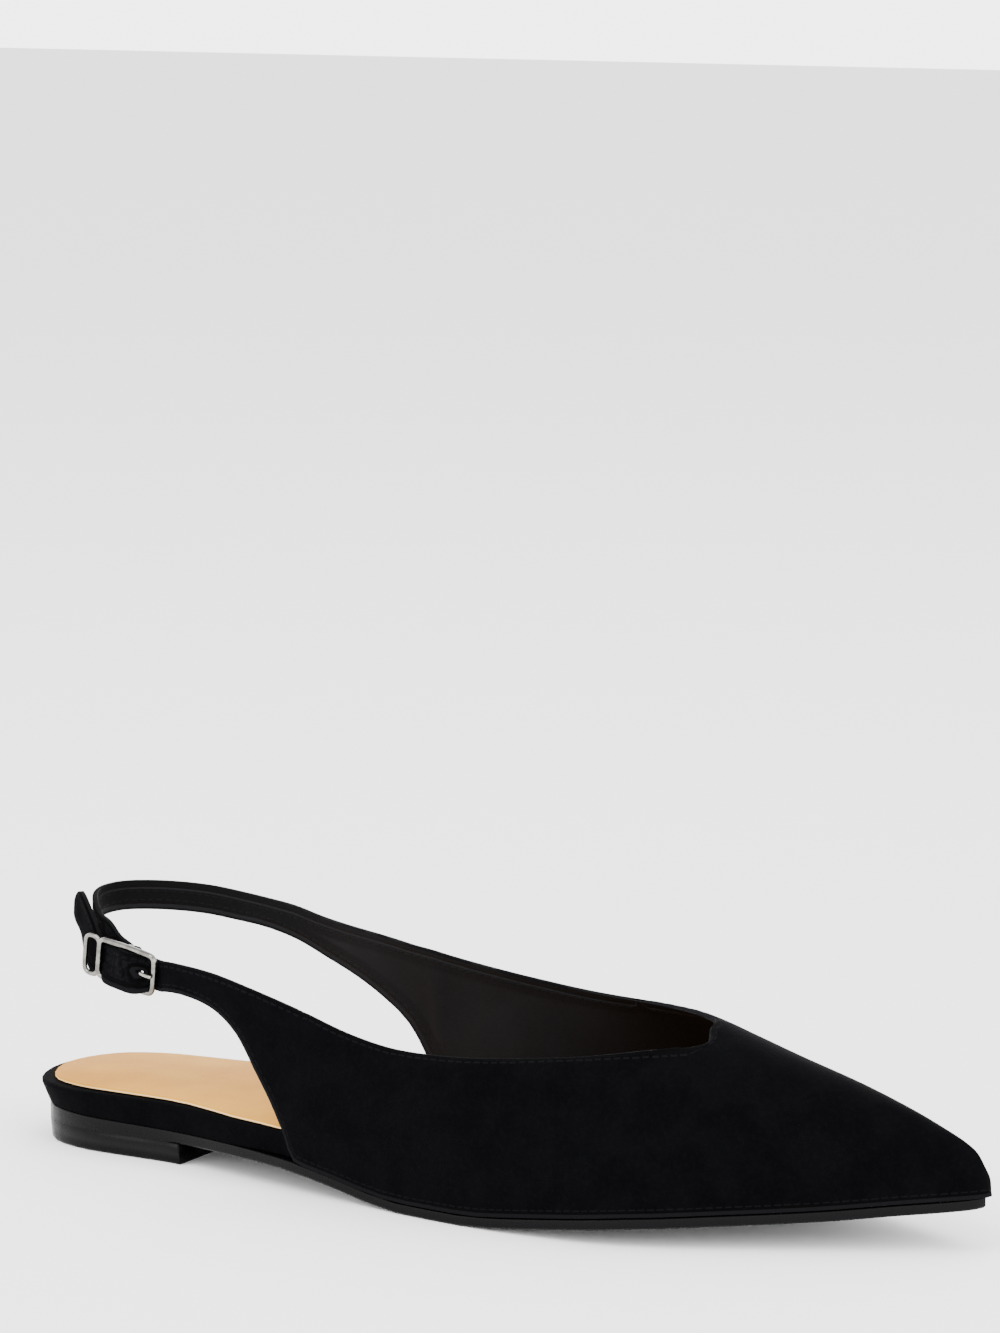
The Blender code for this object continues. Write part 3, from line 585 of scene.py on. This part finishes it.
@dataclass(frozen=True)
class StrapSwell:
    """How the outer strap swells where the buckle pulls it tight."""

    back: float = -17.0 * MM
    front: float = 9.6 * MM
    side: float = 1.7
    slack_in: float = 0.15 * MM
    slack_out: float = 1.0 * MM
    tight_length: float = 9.2 * MM
    behind_place: float = -12.6 * MM
    behind_length: float = 2.6 * MM
    low_from: float = 0.8 * MM
    high_from: float = 1.0 * MM
    width: float = 2.6 * MM
    level: float = 2.45 * MM
    sag: float = 1.9 * MM
    sag_behind: float = 1.5 * MM
    climb: float = 0.32 * MM

    def holds(self, buckle: BucklePlace, along: float, high: float, proud: float) -> bool:
        """Whether a point belongs to the outer strap at the buckle.

        Args:
            buckle: Where the buckle sits.
            along: Place along the strap.
            high: Place across the strap.
            proud: Height over the buckle's bars.

        Returns:
            True inside the strap.
        """
        if not self.back < along < self.front or abs(high) > self.side * buckle.strap_half:
            return False
        face = buckle.strap_out(along)
        return face - buckle.strap_wall - self.slack_in <= proud <= face + self.slack_out

    def move(self, face: float, along: float, high: float) -> tuple[float, float]:
        """How far a point of the strap moves.

        Args:
            face: Height of the strap's face there.
            along: Place along the strap.
            high: Place across the strap.

        Returns:
            Its move outward and its move upward.
        """
        tight = max(0.0, 1.0 - abs(along / self.tight_length) ** 4)
        behind = math.exp(-((along - self.behind_place) / self.behind_length) ** 2)
        low = ease(-high, self.low_from, self.low_from + self.width)
        top = min(max((high - self.high_from) / self.width, 0.0), 1.0)
        lift = max(0.0, self.level - face) * low * tight
        return lift, self.climb * top * tight - (self.sag * tight + self.sag_behind * behind) * low


@dataclass(frozen=True)
class Nudge:
    """A soft pull on the leather near one point, in millimetres."""

    place: tuple[float, float, float]
    reach: float
    shift: tuple[float, float, float]

    def at(self, place: Vector) -> Vector:
        """How far the leather moves at a place.

        Args:
            place: A point of the wall in metres.

        Returns:
            Its move in metres.
        """
        share = math.exp(-((place / MM - Vector(self.place)).length / self.reach) ** 2)
        return Vector(self.shift) * MM * share


@dataclass
class Upper:
    """The suede upper with its lining, its turned edges and its two straps."""

    corner: float = 50.0
    edge_round: float = 0.32 * MM
    border_step: float = 0.4 * MM
    centre_y: float = -2.5 * MM
    centre_z: float = 12.0 * MM
    closed_from: float = 85.0 * MM
    back_centre: float = 12.0 * MM
    front_centre: float = 190.0 * MM
    throat_apex: float = 168.4 * MM
    throat_axis: float = -6.3 * MM
    throat_drop: float = 3.0 * MM
    throat_reach: float = 30.0 * MM
    throat_level: float = 47.5 * MM
    throat_floor: float = 26.0 * MM
    throat_pull: float = 2.4 * MM
    throat_spot: float = 5.5 * MM
    throat_depth: float = 14.0 * MM
    throat_fade: float = 1.6
    throat_start: float = 1.6 * MM
    throat_down: tuple[float, float, float] = (0.0, -0.75, -0.66)
    throat_up: tuple[float, float, float] = (-0.92, 0.0, 0.39)
    nose_from: float = 221.0 * MM
    nose_length: float = 14.0 * MM
    nose_way: tuple[float, float, float] = (1.0, 0.0, 0.06)
    nose_height: float = 17.3 * MM
    nose_width: float = 2.6 * MM
    nose_fill: float = 0.65 * MM
    pulls: tuple[Nudge, ...] = (
        Nudge((-11.2, -13.9, 58.8), 3.4, (-1.12, -0.62, 0.0)),
        Nudge((-11.7, -13.1, 62.5), 2.0, (-0.55, -0.30, 0.0)),
        Nudge((7.8, -20.6, 53.2), 2.8, (2.2, 1.2, 0.2)),
        Nudge((-3.8, -19.5, 47.9), 2.6, (-0.5, 0.2, -1.7)),
        Nudge((166.8, -13.6, 45.6), 3.8, (1.5, 0.85, -0.5)),
    )

    def outward(self, face: bpy.types.MeshPolygon) -> float:
        """How much a face looks away from the middle of the foot.

        Args:
            face: One face of the wall.

        Returns:
            Its area, negative where it looks inwards.
        """
        place = face.center
        forward = min(max(place.x, self.back_centre), self.front_centre)
        middle = Vector((forward, self.centre_y, self.centre_z))
        away = place - middle
        if place.x < self.closed_from:
            away.z = 0.0
        return math.copysign(face.area, face.normal.dot(away))

    def sides(self, piece: bpy.types.Object) -> list[Face]:
        """Side of every face of the wall, found by spreading over edges that are not corners.

        Args:
            piece: The wall.

        Returns:
            The side of each face, in the mesh's order.
        """
        faces = piece.data.polygons
        beside: dict[tuple[int, int], list[int]] = {}
        for face in faces:
            for key in face.edge_keys:
                beside.setdefault(key, []).append(face.index)
        region = [-1] * len(faces)
        sums: list[float] = []
        for start in range(len(faces)):
            if region[start] >= 0:
                continue
            number = len(sums)
            region[start] = number
            sums.append(0.0)
            queue = [start]
            while queue:
                here = faces[queue.pop()]
                sums[number] += self.outward(here)
                for key in here.edge_keys:
                    for there in beside[key]:
                        turn = here.normal.angle(faces[there].normal, 0.0)
                        if region[there] < 0 and turn < math.radians(self.corner):
                            region[there] = number
                            queue.append(there)
        outside = sums.index(max(sums))
        lining = sums.index(min(sums))
        names = {outside: Face.OUTSIDE, lining: Face.LINING}
        return [names.get(number, Face.EDGE) for number in region]

    def rims(self, piece: bpy.types.Object, sides: list[Face]) -> dict[int, set[Face]]:
        """Edges where two sides of the wall meet at a corner.

        Args:
            piece: The wall.
            sides: Side of each face.

        Returns:
            The sides that meet at each such edge, by the edge's number.
        """
        numbers = {edge.key: edge.index for edge in piece.data.edges}
        met: dict[int, set[Face]] = {}
        for face, side in zip(piece.data.polygons, sides):
            for key in face.edge_keys:
                met.setdefault(numbers[key], set()).add(side)
        return {edge: found for edge, found in met.items() if len(found) > 1}

    def round_edges(self, piece: bpy.types.Object, rims: dict[int, set[Face]]) -> None:
        """Round the two corners of the wall's edge, as a turned edge is round.

        Args:
            piece: The wall.
            rims: The corner edges.
        """
        mesh = piece.data
        mesh.vertices.foreach_set("select", np.zeros(len(mesh.vertices), bool))
        mesh.polygons.foreach_set("select", np.zeros(len(mesh.polygons), bool))
        chosen = np.zeros(len(mesh.edges), bool)
        chosen[list(rims)] = True
        mesh.edges.foreach_set("select", chosen)
        with editing(piece, "EDGE"):
            bpy.ops.mesh.bevel(offset=self.edge_round, segments=1, clamp_overlap=True)

    def border(self, piece: bpy.types.Object, rims: dict[int, set[Face]]) -> tuple[np.ndarray, np.ndarray]:
        """Points along the outer corner of the wall's edge, with the way run so far.

        Args:
            piece: The wall before its corners are rounded.
            rims: The corner edges.

        Returns:
            Points in metres and the length run in millimetres at each.
        """
        mesh = piece.data
        links: dict[int, list[int]] = {}
        for edge, found in rims.items():
            if Face.OUTSIDE in found:
                a, b = mesh.edges[edge].vertices
                links.setdefault(a, []).append(b)
                links.setdefault(b, []).append(a)
        points: list[Vector] = []
        runs: list[float] = []
        left = set(links)
        while left:
            here = min(left)
            run = 0.0
            left.discard(here)
            points.append(mesh.vertices[here].co.copy())
            runs.append(run)
            while True:
                ahead = [v for v in links[here] if v in left]
                if not ahead:
                    break
                there = ahead[0]
                left.discard(there)
                start, end = mesh.vertices[here].co, mesh.vertices[there].co
                length = (end - start).length
                parts = max(1, round(length / self.border_step))
                for k in range(1, parts + 1):
                    points.append(start.lerp(end, k / parts))
                    runs.append(run + length / MM * k / parts)
                run += length / MM
                here = there
        return np.array(points), np.array(runs)

    def mark_edges(self, piece: bpy.types.Object, points: np.ndarray, runs: np.ndarray) -> None:
        """Store how far each point of the wall is from its edge, in millimetres.

        Args:
            piece: The finished wall.
            points: Points along the edge.
            runs: Way run at each of them.
        """
        tree = tree_of(points)
        away = []
        along = []
        for vertex in piece.data.vertices:
            _, found, distance = tree.find(vertex.co)
            away.append(distance / MM)
            along.append(runs[found])
        for name, values in (("edge_distance", away), ("edge_run", along)):
            layer = piece.data.attributes.new(name, "FLOAT", "POINT")
            layer.data.foreach_set("value", np.array(values, np.float32))

    def shape_front(self, piece: bpy.types.Object) -> None:
        """Square the near end of the throat and fill out the tip of the toe.

        Args:
            piece: The finished wall, with its edge marks.
        """
        marks = piece.data.attributes["edge_distance"].data
        apex = Vector((self.throat_apex, self.throat_axis, self.throat_level))
        normals = [vertex.normal.copy() for vertex in piece.data.vertices]
        for vertex, normal in zip(piece.data.vertices, normals):
            place = vertex.co
            back = self.throat_apex - place.x
            pull = math.exp(-((place - apex).length / self.throat_spot) ** 2)
            if 0.0 < back < self.throat_reach and place.y < self.throat_axis and place.z > self.throat_floor:
                near = ease(self.throat_depth - marks[vertex.index].value * MM, 0.0, self.throat_depth)
                share = (1.0 - back / self.throat_reach) ** self.throat_fade
                share *= min(1.0, back / self.throat_start)
                down = Vector(self.throat_down)
                down -= normal * down.dot(normal)
                place += down.normalized() * self.throat_drop * share * near
            if place.z > self.throat_floor:
                place += Vector(self.throat_up) * self.throat_pull * pull
            level = math.exp(-((place.z - self.nose_height) / self.nose_width) ** 2)
            ahead = ease(place.x, self.nose_from, self.nose_from + self.nose_length)
            place += Vector(self.nose_way) * self.nose_fill * ahead * level
        piece.data.update()

    def shape_straps(self, piece: bpy.types.Object) -> None:
        """Let the outer strap swell over the buckle's lower rail, and pull the leather into line.

        Args:
            piece: The finished wall.
        """
        buckle = BucklePlace()
        swell = StrapSwell()
        forward, up, out = buckle.directions()
        for vertex in piece.data.vertices:
            way = vertex.co - Vector(buckle.origin)
            along, high, proud = way.dot(forward), way.dot(up), way.dot(out)
            if not swell.holds(buckle, along, high, proud):
                continue
            round_hole = math.hypot(along - buckle.hole, high)
            if round_hole < buckle.hole_rim:
                shut = buckle.hole_shut * (1.0 - ease(round_hole, buckle.hole_core, buckle.hole_rim))
                vertex.co -= (forward * (along - buckle.hole) + up * high) * shut
            lift, rise = swell.move(buckle.strap_out(along), along, high)
            vertex.co += out * lift + up * rise
        for vertex in piece.data.vertices:
            place = vertex.co.copy()
            for pull in self.pulls:
                vertex.co += pull.at(place)
        piece.data.update()

    def build(self) -> bpy.types.Object:
        """Dress the upper."""
        piece = copy_node("upper", "suede_upper")
        sides = self.sides(piece)
        rims = self.rims(piece, sides)
        points, runs = self.border(piece, rims)
        piece.data.materials.append(SUEDE.build())
        piece.data.materials.append(LINING.build())
        for face, side in zip(piece.data.polygons, sides):
            face.material_index = 1 if side is Face.LINING else 0
        self.round_edges(piece, rims)
        apply_modifier(piece, "SUBSURF", levels=2, render_levels=2)
        self.mark_edges(piece, points, runs)
        self.shape_front(piece)
        self.shape_straps(piece)
        smooth(piece, 80.0)
        return settle(piece)


@dataclass
class HeelSeam:
    """Line where the wrapped board meets the sole round the heel seat."""

    level: float = 8.35 * MM
    zone: float = 1.15 * MM
    closing: float = 0.28 * MM
    rise: float = 0.9 * MM
    spread: float = 0.75 * MM
    side_share: float = 0.2
    back: float = -27.0 * MM
    rise_end: float = 24.0 * MM
    shut_from: float = 44.0 * MM
    shut_end: float = 60.0 * MM

    def close(self, piece: bpy.types.Object, above: bool) -> None:
        """Bring one side of the seam to the line.

        Args:
            piece: The board or the sole.
            above: Whether the piece is the board, which also spreads out over the sole.
        """
        normals = [vertex.normal.copy() for vertex in piece.data.vertices]
        for vertex, normal in zip(piece.data.vertices, normals):
            place = vertex.co
            here = 1.0 - ease(place.x, self.shut_from, self.shut_end)
            if here <= 0.0 or not -self.zone < place.z - self.level < self.zone:
                continue
            if above and normal.xy.length > self.side_share:
                out = normal.xy.normalized() * self.spread * here
                place.x += out.x
                place.y += out.y
            place.z += self.rise * (1.0 - ease(place.x, self.back, self.rise_end))
            if not above:
                place.z += self.closing * here
        piece.data.update()


@dataclass
class Footbed:
    """The suede-wrapped board and the beige sock on it."""

    soft_edge: float = 0.5 * MM
    sock_round: float = 0.22 * MM
    sock_inset: float = 1.0 * MM
    half_width: float = 23.0 * MM
    back: float = -27.0 * MM
    inset_from: float = 2.0 * MM
    inset_end: float = 45.0 * MM
    cut_edge: float = 0.55

    def build_board(self) -> bpy.types.Object:
        """Dress the board, with its top edge rolled."""
        piece = copy_node("footbed", "wrapped_footbed")
        soften(piece, self.soft_edge)
        HeelSeam().close(piece, True)
        piece.data.materials.append(BINDING.build())
        smooth(piece, 60.0)
        return settle(piece)

    def build_sock(self) -> bpy.types.Object:
        """Dress the sock, with its pale cut edge."""
        piece = copy_node("sock", "leather_sock")
        soften(piece, self.sock_round, 2)
        for vertex in piece.data.vertices:
            place = vertex.co
            here = 1.0 - ease(place.x, self.inset_from, self.inset_end)
            place.y *= 1.0 - self.sock_inset / self.half_width * here
            place.x += self.sock_inset * (1.0 - ease(place.x, self.back, self.inset_from))
        piece.data.materials.append(SOCK.build())
        piece.data.materials.append(SOCK_EDGE.build())
        for face in piece.data.polygons:
            face.material_index = 1 if abs(face.normal.z) < self.cut_edge else 0
        smooth(piece, 60.0)
        return settle(piece)


@dataclass
class Bottom:
    """The thin polished sole and the low heel block."""

    edge: float = 0.35 * MM
    heel_front: float = 25.2 * MM
    side_level: float = 6.0 * MM
    joint_level: float = 5.5 * MM
    tip_from: float = 224.0 * MM
    tip_length: float = 12.0 * MM
    tip_back: float = 1.2 * MM
    line_parts: int = 24
    line_play: float = 0.03 * MM
    line_end: float = 75.6 * MM
    flush_reach: float = 1.2 * MM
    heel_foot: float = 1.2 * MM
    heel_top: float = 1.05 * MM
    joint_gap: float = 0.02 * MM
    looks_down: float = -0.95

    def side_line(self) -> KDTree:
        """Close points along the widest line of the sole's side, over the heel block."""
        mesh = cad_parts["outsole"].data
        points: list[Vector] = []
        for edge in mesh.edges:
            start, end = (mesh.vertices[corner].co for corner in edge.vertices)
            level = max(abs(start.z - self.side_level), abs(end.z - self.side_level))
            if level < self.line_play and start.x < self.line_end:
                points.extend(start.lerp(end, k / self.line_parts) for k in range(self.line_parts + 1))
        return tree_of(points)

    def make_flush(self, piece: bpy.types.Object, low: float, high: float) -> None:
        """Bring the sides of the sole and the heel block to one line where they meet.

        Args:
            piece: The sole or the heel block.
            low: Lowest level that moves.
            high: Highest level that moves.
        """
        line = self.side_line()
        for vertex in piece.data.vertices:
            place = vertex.co
            if place.x < self.heel_front and low < place.z < high:
                found, _, _ = line.find(Vector((place.x, place.y, self.side_level)))
                if (found.xy - place.xy).length < self.flush_reach:
                    place.x, place.y = found.x, found.y
        piece.data.update()

    def polish(self, piece: bpy.types.Object, finish: GlossFinish) -> bpy.types.Object:
        """Give a piece its polish and its pebbled tread below.

        Args:
            piece: The sole or the heel block.
            finish: Its polish.

        Returns:
            The finished piece.
        """
        piece.data.materials.append(finish.build())
        piece.data.materials.append(TREAD.build())
        for face in piece.data.polygons:
            face.material_index = 1 if face.normal.z < self.looks_down else 0
        smooth(piece, 50.0)
        return settle(piece)

    def build_sole(self) -> bpy.types.Object:
        """Dress the sole, polished at its edge and pebbled below."""
        piece = copy_node("outsole", "polished_sole")
        soften(piece, self.edge)
        self.make_flush(piece, 0.0, self.side_level)
        for vertex in piece.data.vertices:
            ahead = min(max((vertex.co.x - self.tip_from) / self.tip_length, 0.0), 1.0)
            vertex.co.x -= self.tip_back * ahead * ahead
        HeelSeam().close(piece, False)
        return self.polish(piece, SOLE)

    def build_heel(self) -> bpy.types.Object:
        """Dress the heel block, with its top piece below."""
        piece = copy_node("heel", "heel_block")
        soften(piece, self.edge)
        self.make_flush(piece, self.heel_foot, self.side_level)
        for vertex in piece.data.vertices:
            if vertex.co.z > self.joint_level - self.heel_top:
                vertex.co.z = self.joint_level - self.joint_gap
        return self.polish(piece, HEEL)


@dataclass
class Buckle:
    """The silver buckle and its prong."""

    fatten: float = 0.05 * MM

    def dress(self, node: str, name: str, finish: PlatedMetalFinish) -> bpy.types.Object:
        """Turn one faceted wire piece into round wire.

        Args:
            node: Name of the solid.
            name: Name of the new piece.
            finish: Its metal.

        Returns:
            The finished piece.
        """
        piece = copy_node(node, name)
        with editing(piece, "VERT"):
            bpy.ops.mesh.select_all(action="SELECT")
            bpy.ops.transform.shrink_fatten(value=self.fatten)
        apply_modifier(piece, "SUBSURF", levels=2, render_levels=2)
        piece.data.materials.append(finish.build())
        smooth(piece, 180.0)
        return settle(piece)

    def build(self) -> None:
        """Dress the frame and the prong."""
        self.dress("buckle_frame", "nickel_buckle", NICKEL)
        self.dress("buckle_prong", "nickel_pin", PRONG)


@dataclass(frozen=True)
class Lamp:
    """One soft studio lamp, aimed at the shoe."""

    name: str
    place: tuple[float, float, float]
    size: tuple[float, float]
    power: float

    def build(self, aim: Vector) -> None:
        """Hang the lamp.

        Args:
            aim: What it points at.
        """
        data = bpy.data.lights.new(self.name, "AREA")
        data.shape = "RECTANGLE"
        data.size, data.size_y = self.size
        data.energy = self.power
        lamp = bpy.data.objects.new(self.name, data)
        lamp.location = self.place
        lamp.rotation_euler = (aim - Vector(self.place)).to_track_quat("-Z", "Y").to_euler()
        bpy.context.scene.collection.objects.link(lamp)


LAMPS = (
    Lamp("key_lamp", (-0.5, -0.9, 1.5), (1.1, 0.9), 26.0),
    Lamp("front_lamp", (1.3, -0.5, 0.9), (0.7, 0.9), 12.0),
    Lamp("top_lamp", (0.2, 0.4, 1.6), (1.3, 1.3), 16.0),
)


@dataclass
class Studio:
    """Pale floor, soft lamps and the camera of the photograph."""

    camera_place: tuple[float, float, float] = (0.7357, -1.1389, 0.3292)
    yaw: float = 2.07751
    pitch: float = -0.15238
    lens: float = 145.8
    floor_size: float = 12.0
    aim: tuple[float, float, float] = (0.1, 0.0, 0.02)
    fade_from: float = 0.15
    fade_to: float = 0.85
    air_low: float = 4.6
    air_high: float = 1.6

    def build_floor(self) -> None:
        """Lay the floor."""
        drop_selection()
        bpy.ops.mesh.primitive_plane_add(size=self.floor_size, location=(0.0, 0.0, 0.0))
        floor = bpy.context.active_object
        floor.name = "studio_floor"
        recipe = Recipe("Paper matt white")
        tooth = recipe.noise(1.5, 2.0)
        floor.data.materials.append(recipe.finish({
            "Base Color": linear("fbfbfb"), "Roughness": 0.9, "Normal": recipe.bump(tooth, 0.02, 0.2),
        }))

    def build_air(self) -> None:
        """Fill the air with white light that fades overhead."""
        world = bpy.data.worlds.new("studio_air")
        world.use_nodes = True
        tree = world.node_tree
        air = tree.nodes["Background"]
        ray = tree.nodes.new("ShaderNodeTexCoord")
        parts = tree.nodes.new("ShaderNodeSeparateXYZ")
        fade = tree.nodes.new("ShaderNodeMapRange")
        fade.interpolation_type = "SMOOTHSTEP"
        limits = (self.fade_from, self.fade_to, self.air_low, self.air_high)
        for socket, value in zip(list(fade.inputs)[1:5], limits):
            socket.default_value = value
        tree.links.new(ray.outputs["Generated"], parts.inputs[0])
        tree.links.new(parts.outputs["Z"], fade.inputs[0])
        tree.links.new(fade.outputs[0], air.inputs["Strength"])
        air.inputs["Color"].default_value = (1.0, 1.0, 1.0, 1.0)
        bpy.context.scene.world = world

    def build_lights(self) -> None:
        """Light the shoe softly, with pale air all round and three lamps."""
        self.build_air()
        for lamp in LAMPS:
            lamp.build(Vector(self.aim))

    def build_camera(self) -> None:
        """Stand the camera where the photograph was taken."""
        data = bpy.data.cameras.new("photo_camera")
        data.sensor_width = 36.0
        data.lens = self.lens
        data.clip_start, data.clip_end = 0.05, 30.0
        camera = bpy.data.objects.new("photo_camera", data)
        camera.location = self.camera_place
        level = math.cos(self.pitch)
        way = Vector((level * math.cos(self.yaw), level * math.sin(self.yaw), math.sin(self.pitch)))
        camera.rotation_euler = way.to_track_quat("-Z", "Y").to_euler()
        bpy.context.scene.collection.objects.link(camera)
        bpy.context.scene.camera = camera

    def build(self) -> None:
        """Set up the whole studio."""
        self.build_floor()
        self.build_lights()
        self.build_camera()


def main() -> None:
    """Build every sub-assembly in order."""
    Upper().build()
    footbed = Footbed()
    footbed.build_board()
    footbed.build_sock()
    bottom = Bottom()
    bottom.build_sole()
    bottom.build_heel()
    Buckle().build()
    Studio().build()
    log.info("the shoe is dressed")


if __name__ == "__main__":
    main()
